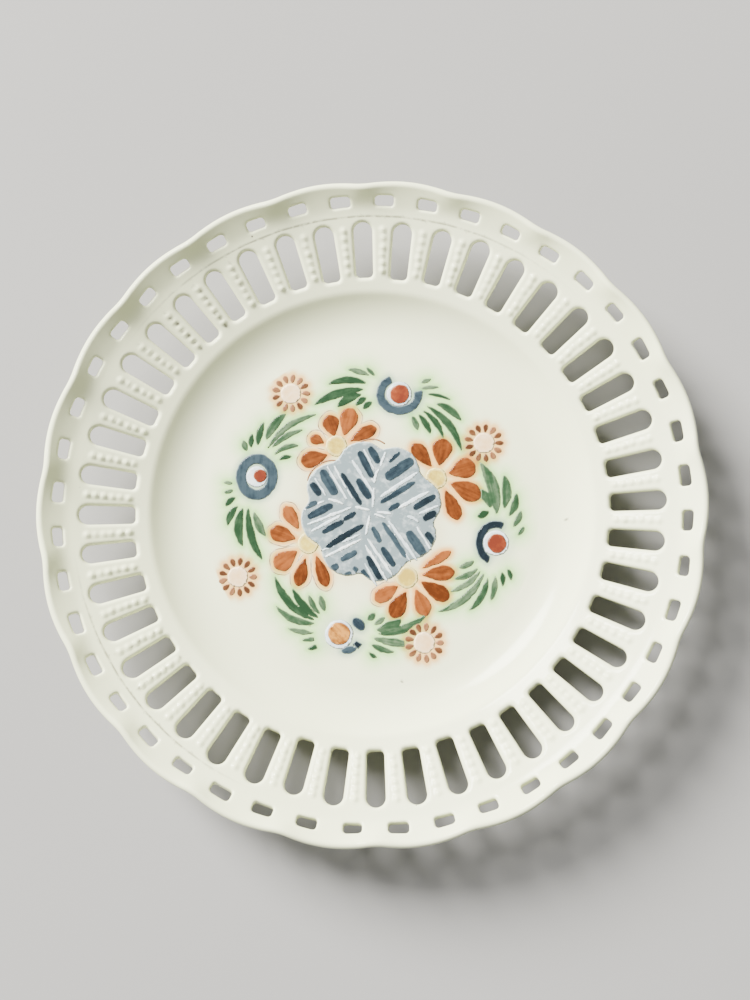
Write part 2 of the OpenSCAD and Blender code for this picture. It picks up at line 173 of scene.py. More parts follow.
# ---------------------------------------------------------------- mesh helper
class Skin:
    """Grids of points that are welded into one closed mesh."""

    def __init__(self):
        self.points, self.quads, self.count = [], [], 0

    def grid(self, rows, ring=False):
        """Quads between neighbouring rows; ring joins the last column to the first."""
        n, m = rows.shape[:2]
        index = self.count + np.arange(n * m).reshape(n, m)
        after = np.roll(index, -1, axis=1) if ring else index[:, 1:]
        here = index if ring else index[:, :-1]
        self.quads.append(np.stack([here[:-1], after[:-1], after[1:], here[1:]], -1).reshape(-1, 4))
        self.points.append(rows.reshape(-1, 3))
        self.count += n * m

    def piece(self, name):
        mesh = bpy.data.meshes.new(name)
        mesh.from_pydata((np.concatenate(self.points) * MM).tolist(), [],
                         np.concatenate(self.quads).tolist())
        bm = bmesh.new()
        bm.from_mesh(mesh)
        bmesh.ops.remove_doubles(bm, verts=bm.verts, dist=0.002 * MM)
        bmesh.ops.dissolve_degenerate(bm, edges=bm.edges, dist=0.002 * MM)
        bmesh.ops.recalc_face_normals(bm, faces=bm.faces)
        for edge in bm.edges:
            edge.smooth = edge.calc_face_angle(0) < SEAM_TURN
        bm.to_mesh(mesh)
        bm.free()
        mesh.polygons.foreach_set("use_smooth", np.ones(len(mesh.polygons), bool))
        made = bpy.data.objects.new(name, mesh)
        bpy.context.scene.collection.objects.link(made)
        return made


def coordinates(piece):
    """The piece's vertices in millimetres."""
    co = np.zeros(len(piece.data.vertices) * 3, np.float32)
    piece.data.vertices.foreach_get("co", co)
    return co.reshape(-1, 3).astype(float) / MM


def write_colour(piece, name, rgb):
    """Stores three values per vertex for the materials to read."""
    attribute = piece.data.attributes.new(name, "FLOAT_COLOR", "POINT")
    rgba = np.concatenate([rgb, np.ones((len(rgb), 1))], 1)
    attribute.data.foreach_set("color", rgba.astype(np.float32).ravel())


# ---------------------------------------------------------------- cells with a hole
THETAS = np.arange(COLUMNS) * PITCH / DIVISIONS


def hole_distance(x, y, half_x, half_y, corner):
    """Signed distance from a rounded rectangle; half_y and corner may vary along x."""
    qx, qy = np.abs(x) - half_x + corner, np.abs(y) - half_y + corner
    return np.hypot(np.maximum(qx, 0), np.maximum(qy, 0)) + np.minimum(np.maximum(qx, qy), 0) - corner


class Cell:
    """One pitch of the rim with a hole in it. x runs out along the slope, y runs around."""

    def __init__(self, middle_r, low_r, high_r, sides, hole, anchor):
        self.middle_r, self.low_r, self.high_r = middle_r, low_r, high_r
        self.sides, self.hole, self.anchor = sides, hole, anchor
        self.tilt = float(slope(np.array(middle_r)))

    def border(self):
        """Points round the cell as (radius, angle from its middle), evenly spaced on each side."""
        across = np.linspace(-0.5, 0.5, DIVISIONS + 1)[:-1] * PITCH
        up = np.linspace(0, 1, self.sides + 1)[:-1]
        rise = self.low_r + up * (self.high_r - self.low_r)
        fall = self.high_r + up * (self.low_r - self.high_r)
        r = np.concatenate([0 * across + self.low_r, rise, 0 * across + self.high_r, fall])
        theta = np.concatenate([across, 0 * up + PITCH / 2, -across, 0 * up - PITCH / 2])
        return r, theta

    def rings(self, levels, beyond, wobble):
        """Rows of (radius, angle): at each distance from the hole, then out to the border."""
        r, theta = self.border()
        bx, by = (r - self.middle_r) / math.cos(self.tilt), r * theta
        ax = np.clip(bx, -self.anchor[0], self.anchor[0])
        ay = np.clip(by, -self.anchor[1], self.anchor[1])
        shift_x, shift_y, turn, size = wobble
        levels = np.array(levels)[:, None]
        near, far = 0 * levels + 0 * bx, 0 * levels + 0 * bx + 1
        for _ in range(26):
            t = (near + far) / 2
            x, y = ax + t * (bx - ax) - shift_x, ay + t * (by - ay) - shift_y
            inside = self.hole(x - turn * y, y + turn * x, size) < levels
            near, far = np.where(inside, t, near), np.where(inside, far, t)
        last = far[-1]
        outer = [last + (1 - last) * s for s in beyond]
        t = np.concatenate([far, np.array(outer)])
        x, y = ax + t * (bx - ax), ay + t * (by - ay)
        radius = self.middle_r + x * math.cos(self.tilt)
        angle = y / radius
        radius[-1], angle[-1] = r, theta
        return radius, angle


LONG_SLOT, LONG_HALF, LONG_FLARE, LONG_CORNER = 17.0, 2.62, 0.34, 1.5
SHORT_HALF, SHORT_HALF_WIDE, SHORT_CORNER = 1.62, 2.95, 1.05


def long_hole(x, y, size):
    """A long slot: squarer at its inner end, wider and half-round at its outer end."""
    half_y = LONG_HALF + LONG_FLARE * np.clip(x / LONG_SLOT + 0.5, 0, 1) + 0.5 * size
    return hole_distance(x, y, LONG_SLOT / 2 + size, half_y, np.where(x < 0, LONG_CORNER, half_y))


def short_hole(x, y, size):
    """A short slot, rounded at its corners and wider than it is long."""
    return hole_distance(x, y, SHORT_HALF + 0.5 * size, SHORT_HALF_WIDE + size, SHORT_CORNER)


LONG = Cell(SLOT_R, JOINT_R, CREASE_R, 30, long_hole, (6.0, 0))
SHORT = Cell(SHORT_R, CREASE_R, SHORT_END_R, 12, short_hole, (0, 1.3))


def round_over(radius, steps):
    """(distance from the hole, depth) down a quarter-round edge, from the wall outwards."""
    turn = np.linspace(0, math.pi / 2, steps)
    return radius * (1 - np.cos(turn)), radius * (1 - np.sin(turn))


def add_cells(skin, cell, first_turn, top_round, low_round, wobbles, raised):
    """The upper side, the hole's wall and the underside of the cells all round the rim."""
    top_d, top_depth = round_over(top_round, 5)
    low_d, low_depth = round_over(low_round, 3)
    for k, wobble in enumerate(wobbles):
        turn = (k + first_turn) * PITCH
        r, theta = cell.rings(top_d, (0.22, 0.48, 0.74, 1), wobble)
        theta = theta + turn
        depth = np.zeros_like(r)
        depth[:len(top_d)] = top_depth[:, None]
        if raised:                                  # the beads fade out on the slots' rounded edges
            depth = depth - beads(r, theta) * smooth((np.arange(len(r)) - 2.5) / 2)[:, None]
        skin.grid(place(r, theta, depth), ring=True)

        low_r, low_theta = cell.rings(low_d, (0.4, 1), wobble)
        low_theta = low_theta + turn
        thick = body_thickness(low_r)
        low = thick.copy()
        low[:len(low_d)] -= low_depth[:, None]
        skin.grid(place(low_r, low_theta, low), ring=True)

        share = np.linspace(0, 1, 4)[:, None]
        wall = top_round + share * (thick[0] - low_round - top_round)
        skin.grid(place(r[0] + 0 * share, theta[0] + 0 * share, wall), ring=True)


def wobbles(shift, turn, size):
    """How each slot was cut a little off its place, off its angle and off its size."""
    return np.stack([rng.normal(0, shift, SLOTS), rng.normal(0, shift / 2, SLOTS),
                     rng.normal(0, turn, SLOTS), rng.normal(0, size, SLOTS)], -1)


def ring_rows(radii, depths):
    """Rows right round the plate, each at a radius and a depth below the upper surface."""
    r, depth = np.array(radii, float)[:, None], np.array(depths, float)[:, None]
    return place(r + 0 * THETAS, THETAS + 0 * r, depth + 0 * THETAS)


def cut_face(skin, r):
    """The hidden face where the well piece and the rim piece meet."""
    skin.grid(ring_rows([r] * 3, np.linspace(0, BODY_T, 3)), ring=True)


def lip_rows():
    """Rows over the rounded lip, from the upper side to the underside."""
    turn = np.linspace(math.pi / 2, -math.pi / 2, 11)
    out = (0.5 * LIP_T * np.cos(turn) * math.cos(EDGE_ANGLE))[:, None]
    rows = ring_rows([LIP_R] * len(turn), 0.5 * (1 - np.sin(turn)) * body_thickness(np.array(LIP_R)))
    rows[..., 0] += out * np.cos(THETAS)
    rows[..., 1] += out * np.sin(THETAS)
    rows[..., 2] += out * math.tan(EDGE_ANGLE)
    return rows


def make_rim():
    """The pierced rim with its beaded bars, short slots and rounded, scalloped edge."""
    skin = Skin()
    long_wobbles = wobbles(0.16, 0.008, 0.1)
    long_wobbles[31, 0] -= 0.7                      # one slot was cut a little too far in
    add_cells(skin, LONG, 0, 1.15, 0.8, long_wobbles, True)
    add_cells(skin, SHORT, 0.5, 0.75, 0.6, wobbles(0.14, 0.02, 0.12), False)
    top = np.linspace(SHORT_END_R, LIP_R, 4)
    skin.grid(ring_rows(top, 0 * top), ring=True)
    skin.grid(lip_rows(), ring=True)
    skin.grid(ring_rows(top[::-1], body_thickness(top[::-1])), ring=True)
    cut_face(skin, JOINT_R)
    return skin.piece("pierced_rim")


def flat_rows(radii, heights):
    """Rows of a plain turned surface."""
    r, z = np.array(radii, float)[:, None], np.array(heights, float)[:, None]
    return np.stack([r * np.cos(THETAS), r * np.sin(THETAS), z + 0 * THETAS], -1)


def make_well():
    """The floor and the hollow wall, and the flat underside inside the foot."""
    skin = Skin()
    top = np.concatenate([[0], np.linspace(0.8, FLOOR_R, 93), np.linspace(FLOOR_R + 0.9, WALL_R, 15),
                          np.linspace(WALL_R + 0.4, JOINT_R, 8)])
    skin.grid(ring_rows(top, 0 * top), ring=True)
    low = np.linspace(JOINT_R, FLOOR_R, 20)
    skin.grid(ring_rows(low, 0 * low + BODY_T), ring=True)
    under = np.linspace(FLOOR_R, 0, 22)
    skin.grid(flat_rows(under, 0 * under + FOOT_HIGH), ring=True)
    cut_face(skin, JOINT_R)
    return skin.piece("well")


def make_foot():
    """A turned foot with a rounded bearing edge and a soft fillet where it grows out of the body."""
    # Half the section, as (distance from its middle, height from the body's underside).
    half = [(3.6, 0.35), (3.6, -0.02), (3.0, -0.1), (2.55, -0.35), (2.2, -0.9), (1.9, -1.6),
            (1.6, -2.1), (1.2, -2.35), (0.8, -FOOT_HIGH)]
    out = [(FOOT_R + x, FOOT_HIGH + z) for x, z in half]
    back = [(FOOT_R - x, FOOT_HIGH + z) for x, z in half[::-1]]
    skin = Skin()
    radii, heights = zip(*(out + back + out[:1]))
    skin.grid(flat_rows(radii, heights), ring=True)
    return skin.piece("foot")


# ---------------------------------------------------------------- node helpers
def socket(node, name, value):
    node.inputs[name].default_value = value


class Shader:
    """A Principled material with short ways to add nodes."""

    def __init__(self, name, rough, coat=0.0):
        self.material = bpy.data.materials.new(name)
        self.material.use_nodes = True
        self.tree = self.material.node_tree
        self.bsdf = self.tree.nodes["Principled BSDF"]
        socket(self.bsdf, "Roughness", rough)
        socket(self.bsdf, "IOR", 1.52)
        socket(self.bsdf, "Coat Weight", coat)
        socket(self.bsdf, "Coat Roughness", 0.06)
        self.place = self.node("ShaderNodeTexCoord").outputs["Object"]

    def node(self, kind, **settings):
        made = self.tree.nodes.new(kind)
        for key, value in settings.items():
            setattr(made, key, value)
        return made

    def link(self, a, b):
        self.tree.links.new(a, b)

    def attribute(self, name):
        return self.node("ShaderNodeAttribute", attribute_name=name).outputs["Color"]

    def noise(self, scale, detail=3.0, rough=0.5, vector=None):
        made = self.node("ShaderNodeTexNoise")
        socket(made, "Scale", scale)
        socket(made, "Detail", detail)
        socket(made, "Roughness", rough)
        self.link(vector or self.place, made.inputs["Vector"])
        return made.outputs["Fac"]

    def ramp(self, value, *stops):
        """stops are (position, grey or colour)."""
        made = self.node("ShaderNodeValToRGB")
        while len(made.color_ramp.elements) < len(stops):
            made.color_ramp.elements.new(0.5)
        for element, (position, colour) in zip(made.color_ramp.elements, stops):
            element.position = position
            element.color = (*colour, 1) if isinstance(colour, tuple) else (colour,) * 3 + (1,)
        self.link(value, made.inputs["Fac"])
        return made.outputs["Color"]

    def mix(self, fac, a, b, blend="MIX"):
        made = self.node("ShaderNodeMix", data_type="RGBA", blend_type=blend)
        for index, value in ((0, fac), (6, a), (7, b)):
            target = made.inputs[index]
            if isinstance(value, bpy.types.NodeSocket):
                self.link(value, target)
            elif isinstance(value, tuple):
                target.default_value = (*value, 1)
            else:
                target.default_value = value
        return made.outputs[2]

    def maths(self, operation, a, b=0.0):
        made = self.node("ShaderNodeMath", operation=operation)
        for target, value in zip(made.inputs, (a, b)):
            if isinstance(value, bpy.types.NodeSocket):
                self.link(value, target)
            else:
                target.default_value = value
        return made.outputs[0]

    def colour(self, value):
        self.link(value, self.bsdf.inputs["Base Color"])

    def rough(self, value):
        self.link(value, self.bsdf.inputs["Roughness"])

    def bump(self, height, strength, distance):
        made = self.node("ShaderNodeBump")
        socket(made, "Strength", strength)
        socket(made, "Distance", distance)
        self.link(height, made.inputs["Height"])
        self.link(made.outputs["Normal"], self.bsdf.inputs["Normal"])


# ---------------------------------------------------------------- materials
def glaze_material(name, bare_below=None):
    """Milk white glaze: faint green cream drift, washes of paint, darkening along the crease and between the
    beads, small specks.
    Below `bare_below` (metres) the clay is bare."""
    shader = Shader(name, 0.16, coat=0.3)
    drift = shader.ramp(shader.noise(18, 3), (0.3, (0.77, 0.805, 0.51)), (0.7, (0.80, 0.83, 0.56)))
    washed = shader.mix(1.0, drift, shader.attribute("wash"), "MULTIPLY")
    patchy = shader.ramp(shader.noise(420, 4, 0.6), (0.36, 0.2), (0.55, 1.0))
    # The crease line and the gaps between the beads are darkened here, together with the specks.
    darkness = shader.maths("MULTIPLY", shader.attribute("dark_marks"), patchy)
    darkened = shader.mix(darkness, washed, (0.05, 0.042, 0.03))
    speck = shader.node("ShaderNodeTexVoronoi")
    socket(speck, "Scale", 95)
    shader.link(shader.place, speck.inputs["Vector"])
    near = shader.ramp(speck.outputs["Distance"], (0.0, 1.0), (0.028, 1.0), (0.04, 0.0))
    rare = shader.ramp(shader.noise(31, 2), (0.62, 0.0), (0.66, 1.0))
    spots = shader.maths("MULTIPLY", near, rare)
    finish = shader.mix(spots, darkened, (0.06, 0.05, 0.04))
    sheen = shader.ramp(shader.noise(40, 4), (0.3, 0.12), (0.75, 0.2))
    if bare_below:
        parts = shader.node("ShaderNodeSeparateXYZ")
        shader.link(shader.place, parts.inputs["Vector"])
        ragged = shader.maths("ADD", parts.outputs["Z"], shader.maths("MULTIPLY", shader.noise(300), -0.0001))
        bare = shader.maths("LESS_THAN", ragged, bare_below)
        clay = shader.ramp(shader.noise(900, 4, 0.7), (0.3, (0.50, 0.45, 0.37)), (0.7, (0.66, 0.62, 0.54)))
        finish = shader.mix(bare, finish, clay)
        sheen = shader.maths("MAXIMUM", sheen, shader.maths("MULTIPLY", bare, 0.85))
    shader.colour(finish)
    shader.rough(sheen)
    ripple = shader.maths("ADD", shader.noise(55, 2), shader.maths("MULTIPLY", shader.noise(420, 3), 0.12))
    shader.bump(ripple, 0.25, 0.0004)
    return shader.material


def enamel_material(name, edge, deep, middle, light, streaky=0.55, fade=0.6, second=None):
    """Brushed enamel under a glossy glaze, streaked along the stroke and thin over its edge's `fade`.
    `second` recolours what lies below its first number (metres) in the plate's own Y."""
    shader = Shader(name, 0.2, coat=0.35)
    parts = shader.node("ShaderNodeSeparateColor")
    shader.link(shader.attribute("stroke"), parts.inputs["Color"])
    inner, own = parts.outputs[:2]
    streaks = shader.noise(900, 3, 0.6, shader.attribute("run"))
    blotches = shader.noise(330, 3, 0.6)
    lay = shader.maths("ADD", shader.maths("MULTIPLY", streaks, streaky),
                       shader.maths("MULTIPLY", blotches, 1 - streaky))
    tone = shader.maths("ADD", lay, shader.maths("MULTIPLY", shader.maths("SUBTRACT", own, 0.5), 0.36))
    body = shader.ramp(tone, (0.34, deep), (0.5, middle), (0.68, light))
    if second:
        level, other = second
        place = shader.node("ShaderNodeSeparateXYZ")
        shader.link(shader.place, place.inputs["Vector"])
        body = shader.mix(shader.maths("LESS_THAN", place.outputs["Y"], level), body,
                          shader.ramp(tone, (0.4, other[0]), (0.58, other[1])))
    soft = shader.maths("ADD", inner, shader.maths("MULTIPLY", shader.maths("SUBTRACT", blotches, 0.5), 0.4))
    shader.colour(shader.mix(shader.ramp(soft, (0.05, 0.85), (fade, 0.0)), body, edge))
    shader.bump(shader.noise(600, 2), 0.15, 0.0001)
    return shader.material


def line_material():
    """A fine brown line, paler where the brush ran dry."""
    shader = Shader("fine_line", 0.25, coat=0.3)
    shader.colour(shader.ramp(shader.noise(500, 3), (0.38, (0.12, 0.06, 0.03)), (0.66, (0.52, 0.40, 0.28))))
    return shader.material


# Each enamel: the colour of its thin edge, its deep, middle and light tones, how much of its shading
# runs in streaks, and how far in from the edge it stays thin.
ENAMELS = {
    "pale_blue_enamel": ((0.56, 0.62, 0.58), (0.17, 0.215, 0.225), (0.36, 0.41, 0.41),
                         (0.64, 0.68, 0.62), 0.15),
    "cobalt_enamel": ((0.15, 0.195, 0.21), (0.006, 0.011, 0.015), (0.013, 0.023, 0.031),
                      (0.032, 0.051, 0.063), 0.5, 0.6),
    "white_enamel": ((0.40, 0.47, 0.50), (0.44, 0.51, 0.54), (0.56, 0.63, 0.65), (0.70, 0.74, 0.72), 0.3),
    "brown_enamel": ((0.38, 0.20, 0.10), (0.062, 0.023, 0.009), (0.115, 0.046, 0.018),
                     (0.22, 0.10, 0.045), 0.5, 0.45),
    "orange_enamel": ((0.34, 0.135, 0.045), (0.070, 0.017, 0.003), (0.140, 0.036, 0.007),
                      (0.235, 0.070, 0.016), 0.5, 0.4),
    "yellow_enamel": ((0.70, 0.60, 0.28), (0.44, 0.31, 0.055), (0.58, 0.45, 0.09),
                      (0.69, 0.57, 0.17), 0.2, 0.9),
    "green_enamel": ((0.21, 0.29, 0.16), (0.012, 0.036, 0.014), (0.030, 0.066, 0.030),
                     (0.10, 0.15, 0.08), 0.55, 0.5),
    "red_enamel": ((0.36, 0.16, 0.085), (0.12, 0.022, 0.010), (0.19, 0.040, 0.014),
                   (0.29, 0.085, 0.032), 0.3, 0.5),
    "peach_enamel": ((0.78, 0.60, 0.38), (0.70, 0.46, 0.22), (0.74, 0.52, 0.28),
                     (0.78, 0.60, 0.38), 0.2, 0.9),
}
# The lowest eye is ochre: below this Y (metres) the red enamel has these two tones instead.
LOWER_EYE = (-0.02, ((0.17, 0.058, 0.010), (0.46, 0.20, 0.04)))
MATERIALS = {name: enamel_material(name, *tones, second=LOWER_EYE if name == "red_enamel" else None)
             for name, tones in ENAMELS.items()}


# ---------------------------------------------------------------- painting
LAYER = 0.03                      # paint laid over other paint starts this much higher


def loops_of(node):
    """The outlines of a node's upper faces, in millimetres, each with its paint on the left."""
    bm = bmesh.new()
    bm.from_mesh(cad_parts[node].data)
    bmesh.ops.remove_doubles(bm, verts=bm.verts, dist=0.001 * MM)
    bm.normal_update()
    onward = {}
    for face in bm.faces:
        if face.normal.z > 0.9:
            for loop in face.loops:
                other = [f for f in loop.edge.link_faces if f != face]
                if not other or other[0].normal.z < 0.9:
                    onward[loop.vert.index] = loop.link_loop_next.vert.index
    places = {v.index: (v.co.x / MM, v.co.y / MM) for v in bm.verts}
    bm.free()
    found = []
    while onward:
        start, here = next(iter(onward.items()))
        chain = [start]
        del onward[start]
        while here != start and here in onward:
            chain.append(here)
            here = onward.pop(here)
        found.append(np.array([places[i] for i in chain]))
    return found


def signed_area(loop):
    """Positive for an outer outline, negative for a hole."""
    after = np.roll(loop, -1, axis=0)
    return 0.5 * np.sum(loop[:, 0] * after[:, 1] - loop[:, 1] * after[:, 0])


def is_inside(points, loops):
    """Even-odd test of points against all the loops of one island."""
    hit = np.zeros(len(points), bool)
    for loop in loops:
        after = np.roll(loop, -1, axis=0)
        for (ax, ay), (bx, by) in zip(loop, after):
            if ay != by:
                crosses = (ay > points[:, 1]) != (by > points[:, 1])
                at = ax + (points[:, 1] - ay) * (bx - ax) / (by - ay)
                hit ^= crosses & (points[:, 0] < at)
    return hit


def distance_to(points, loops, chunk=4000):
    """Distance from each point to the nearest outline."""
    a = np.concatenate(loops)
    b = np.concatenate([np.roll(loop, -1, axis=0) for loop in loops])
    run = b - a
    squared = np.maximum((run ** 2).sum(1), 1e-9)
    nearest = np.full(len(points), 1e9)
    for start in range(0, len(points), chunk):
        p = points[start:start + chunk, None]
        t = np.clip(((p - a) * run).sum(2) / squared, 0, 1)
        nearest[start:start + chunk] = np.sqrt((((p - a) - t[..., None] * run) ** 2).sum(2).min(1))
    return nearest


def hand_drawn(loop, spacing=0.3, shake=0.07, swell=0.1):
    """The outline with its corners cut twice, spaced evenly, swelled a little and unsteady."""
    for _ in range(2):
        after = np.roll(loop, -1, axis=0)
        loop = np.stack([0.75 * loop + 0.25 * after, 0.25 * loop + 0.75 * after], 1).reshape(-1, 2)
    closed = np.concatenate([loop, loop[:1]])
    run = np.concatenate([[0], np.cumsum(np.linalg.norm(np.diff(closed, axis=0), axis=1))])
    count = max(8, int(run[-1] / spacing))
    at = np.arange(count) * run[-1] / count
    even = np.stack([np.interp(at, run, closed[:, i]) for i in (0, 1)], -1)
    ahead = np.roll(even, -1, axis=0) - np.roll(even, 1, axis=0)
    side = np.stack([ahead[:, 1], -ahead[:, 0]], -1) / np.linalg.norm(ahead, axis=1, keepdims=True)
    noise = rng.normal(0, 1, count)
    for _ in range(3):                              # smoothed, and kept lively
        noise = (noise + np.roll(noise, 1) + np.roll(noise, -1)) / 2.4
    return even + side * (noise * shake + swell)[:, None]


def islands_of(loops):
    """Groups each outer outline with the outlines of its holes."""
    outer = [loop for loop in loops if signed_area(loop) > 0]
    holes = [loop for loop in loops if signed_area(loop) <= 0]
    groups = [[loop] for loop in outer]
    for hole in holes:
        for group in groups:
            if is_inside(hole[:1], group[:1])[0]:
                group.append(hole)
    return groups


def island_mesh(loops, grain, base_z, height, shoulder):
    """One domed patch of paint, closed underneath: vertices, faces, and for each vertex its share of
    the way in from the edge with the stroke's own shade, and its place along and across the stroke."""
    edge_points = np.concatenate(loops)
    low, high = edge_points.min(0), edge_points.max(0)
    xs, ys = np.arange(low[0], high[0], grain), np.arange(low[1], high[1], grain * 0.87)
    grid = np.stack(np.meshgrid(xs, ys), -1)
    grid[1::2, :, 0] += grain / 2
    grid = grid.reshape(-1, 2)
    grid = grid[is_inside(grid, loops)] if len(grid) else grid
    if len(grid):
        grid = grid[distance_to(grid, loops) > 0.45 * grain]
    edges, start = [], 0
    for loop in loops:
        n = len(loop)
        edges += [(start + i, start + (i + 1) % n) for i in range(n)]
        start += n
    made = delaunay_2d_cdt(np.concatenate([edge_points, grid]).tolist(), edges, [], 0, 1e-5)
    points, triangles = np.array([tuple(p) for p in made[0]]), np.array(made[2])
    triangles = triangles[is_inside(points[triangles].mean(1), loops)]
    away = distance_to(points, loops)
    rim = away < 1e-4
    dome = 1 - (1 - np.clip(away / shoulder, 0, 1)) ** 2
    top = np.c_[points, base_z + height * dome]
    under = np.where(rim)[0]
    twin = np.arange(len(points)) + len(points)
    twin[under] = under
    bottom = np.c_[points, np.full(len(points), base_z - 0.04)]
    middle = points.mean(0)
    spread = points - middle
    axis = np.linalg.eigh(spread.T @ spread)[1][:, -1]
    run, across = spread @ axis, spread @ [-axis[1], axis[0]]
    own = rng.random()
    stroke = np.c_[np.clip(away / shoulder, 0, 1), 0 * run + own, 0 * run]
    streak = np.c_[run * 0.12, across, 0 * run + 40 * own] * MM
    faces = np.concatenate([triangles, twin[triangles][:, ::-1]])
    return np.concatenate([top, bottom]), faces, np.tile(stroke, (2, 1)), np.tile(streak, (2, 1))


def paint(node, slot, grain=0.4, level=0, height=0.035, shoulder=0.6, shake=0.07):
    """Domed paint on the floor over the outlines of a CAD node, which it stands for."""
    base_z = FLOOR_Z + LAYER * level
    loops = [hand_drawn(loop, shake=shake) for loop in loops_of(node) if abs(signed_area(loop)) > 0.15]
    patches = [island_mesh(island, grain, base_z, height, shoulder) for island in islands_of(loops)]
    vertices, faces, strokes, streaks = zip(*patches)
    starts = np.cumsum([0] + [len(v) for v in vertices[:-1]])
    faces = np.concatenate([f + start for f, start in zip(faces, starts)])
    mesh = bpy.data.meshes.new(node)
    mesh.from_pydata((np.concatenate(vertices) * MM).tolist(), [], faces.tolist())
    piece = bpy.data.objects.new("painted_" + node, mesh)
    bpy.context.scene.collection.objects.link(piece)
    write_colour(piece, "stroke", np.concatenate(strokes))
    write_colour(piece, "run", np.concatenate(streaks))
    bm = bmesh.new()
    bm.from_mesh(mesh)
    loose = [v for v in bm.verts if not v.link_faces]
    bmesh.ops.delete(bm, geom=loose, context="VERTS")
    bmesh.ops.recalc_face_normals(bm, faces=bm.faces)
    bm.to_mesh(mesh)
    bm.free()
    mesh.polygons.foreach_set("use_smooth", np.ones(len(mesh.polygons), bool))
    mesh.materials.append(MATERIALS[slot])
    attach(piece, "root")
    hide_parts(node)
    return loops


outlines = {
    "ground": paint("flower_ground", "pale_blue_enamel", grain=0.6),
    "stripes": paint("flower_cobalt_strokes", "cobalt_enamel", level=1, height=0.02, shoulder=0.6),
    "lines": paint("flower_white_lines", "white_enamel", level=1, height=0.045, shoulder=0.5),
    "outline": paint("flower_outlines", "brown_enamel", grain=0.25, shake=0.03),
    "petals": paint("orange_petals", "orange_enamel"),
    "centres": paint("yellow_centres", "yellow_enamel", grain=0.5, height=0.012, shoulder=1.2),
    "leaves": paint("leaf_strokes", "green_enamel", grain=0.35),
    "rings": paint("blue_rings", "cobalt_enamel"),
    "ring_grounds": paint("ring_grounds", "white_enamel", grain=0.6, height=0.015),
    "eyes": paint("ring_eyes", "red_enamel", level=1),
    "rosettes": paint("small_rosette_petals", "brown_enamel", grain=0.3),
    "rosette_centres": paint("small_rosette_centres", "peach_enamel", grain=0.6, height=0.01, shoulder=1.5),
}

OUTLINE_GAP, OUTLINE_WIDE = 1.15, 0.3           # the petals' fine outlines: distance and width


def nearest_tree(loops):
    """A search tree of the outlines' points, which are closely spaced."""
    targets = np.concatenate(loops)
    tree = KDTree(len(targets))
    for i, (x, y) in enumerate(targets):
        tree.insert((x, y, 0), i)
    tree.balance()
    return tree


def distances(points, tree):
    """Distance from each point to the outlines in a search tree."""
    return np.array([tree.find((x, y, 0))[2] for x, y in points])


def ribbon(points):
    """A thin raised line through the points, tapering away at both ends, as closed rows."""
    ahead = np.gradient(points, axis=0)
    side = np.stack([ahead[:, 1], -ahead[:, 0]], -1) / np.linalg.norm(ahead, axis=1, keepdims=True)
    share = np.sqrt(np.sin(np.linspace(0, math.pi, len(points))).clip(0))[:, None]
    wide, level = side * share * OUTLINE_WIDE / 2, FLOOR_Z + 0 * share
    left, right = np.c_[points + wide, level], np.c_[points - wide, level]
    over, under = np.c_[points, level + 0.05 * share], np.c_[points, level - 0.04 * share]
    return np.stack([left, over, right, under, left])


def petal_outlines():
    """Fine brown lines drawn round the petals on one side, clear of the other paint."""
    skin = Skin()
    others = {name: nearest_tree(outlines[name]) for name in ("ground", "centres", "petals", "leaves")}
    for loop in outlines["petals"]:
        if loop[:, 0].mean() > 4:
            continue
        after = np.roll(loop, -2, axis=0) - np.roll(loop, 2, axis=0)
        side = np.stack([after[:, 1], -after[:, 0]], -1) / np.linalg.norm(after, axis=1, keepdims=True)
        wave = 0.15 * np.sin(np.arange(len(loop)) * 0.35 + rng.uniform(0, 6))
        drawn = loop + side * (OUTLINE_GAP + wave)[:, None]
        clear = np.ones(len(drawn), bool)
        for name, tree in others.items():
            reach = OUTLINE_GAP - 0.35 if name == "petals" else 0.35
            clear &= distances(drawn, tree) > reach
        for name in ("ground", "centres", "leaves"):
            clear &= ~is_inside(drawn, outlines[name])
        start = int(np.argmin(clear))
        drawn, clear = np.roll(drawn, -start, axis=0), np.roll(clear, -start)
        edges = np.flatnonzero(np.diff(np.concatenate([[0], clear.astype(int), [0]])))
        for first, last in edges.reshape(-1, 2):
            if last - first > 8:
                skin.grid(ribbon(drawn[first:last]))
    return skin.piece("petal_outlines")


# Washes that bled round the strokes: (outlines, tint, reach in millimetres, strength).
WASHES = [
    ("leaves", (0.56, 0.86, 0.48), 3.4, 0.75), ("leaves", (0.46, 0.70, 0.38), 0.9, 0.6),
    ("petals", (0.90, 0.42, 0.15), 1.35, 0.95), ("rosettes", (0.88, 0.46, 0.20), 1.4, 0.9),
    ("rings", (0.42, 0.54, 0.60), 1.2, 0.8), ("ring_grounds", (0.56, 0.66, 0.70), 2.6, 0.6),
    ("ground", (0.84, 0.70, 0.60), 3.2, 0.5), ("centres", (0.90, 0.72, 0.28), 1.0, 0.6),
]
WASH_R = 52.0                     # no wash reaches past this radius


def wash_well(piece):
    """Tints the floor round the painting, from the distance to its outlines."""
    co = coordinates(piece)
    wash = np.ones((len(co), 3))
    near = (np.hypot(co[:, 0], co[:, 1]) < WASH_R) & (co[:, 2] > FLOOR_Z - 0.5)
    flat = co[near, :2]
    tint = np.ones((len(flat), 3))
    names = {name for name, *_ in WASHES}
    away = {name: distances(flat, nearest_tree(outlines[name])) for name in names}
    for name, colour, reach, strength in WASHES:
        share = strength * np.exp(-(away[name] / reach) ** 2)[:, None]
        tint *= 1 - share + share * np.array(colour)
    wash[near] = tint
    write_colour(piece, "wash", wash)


# Dark specks in the glaze of the floor and the wall, as (x, y) in millimetres.
SPECKS = [(-19.9, -35.0), (-20.6, -33.6), (60.4, -4.2), (8.3, -52.6)]


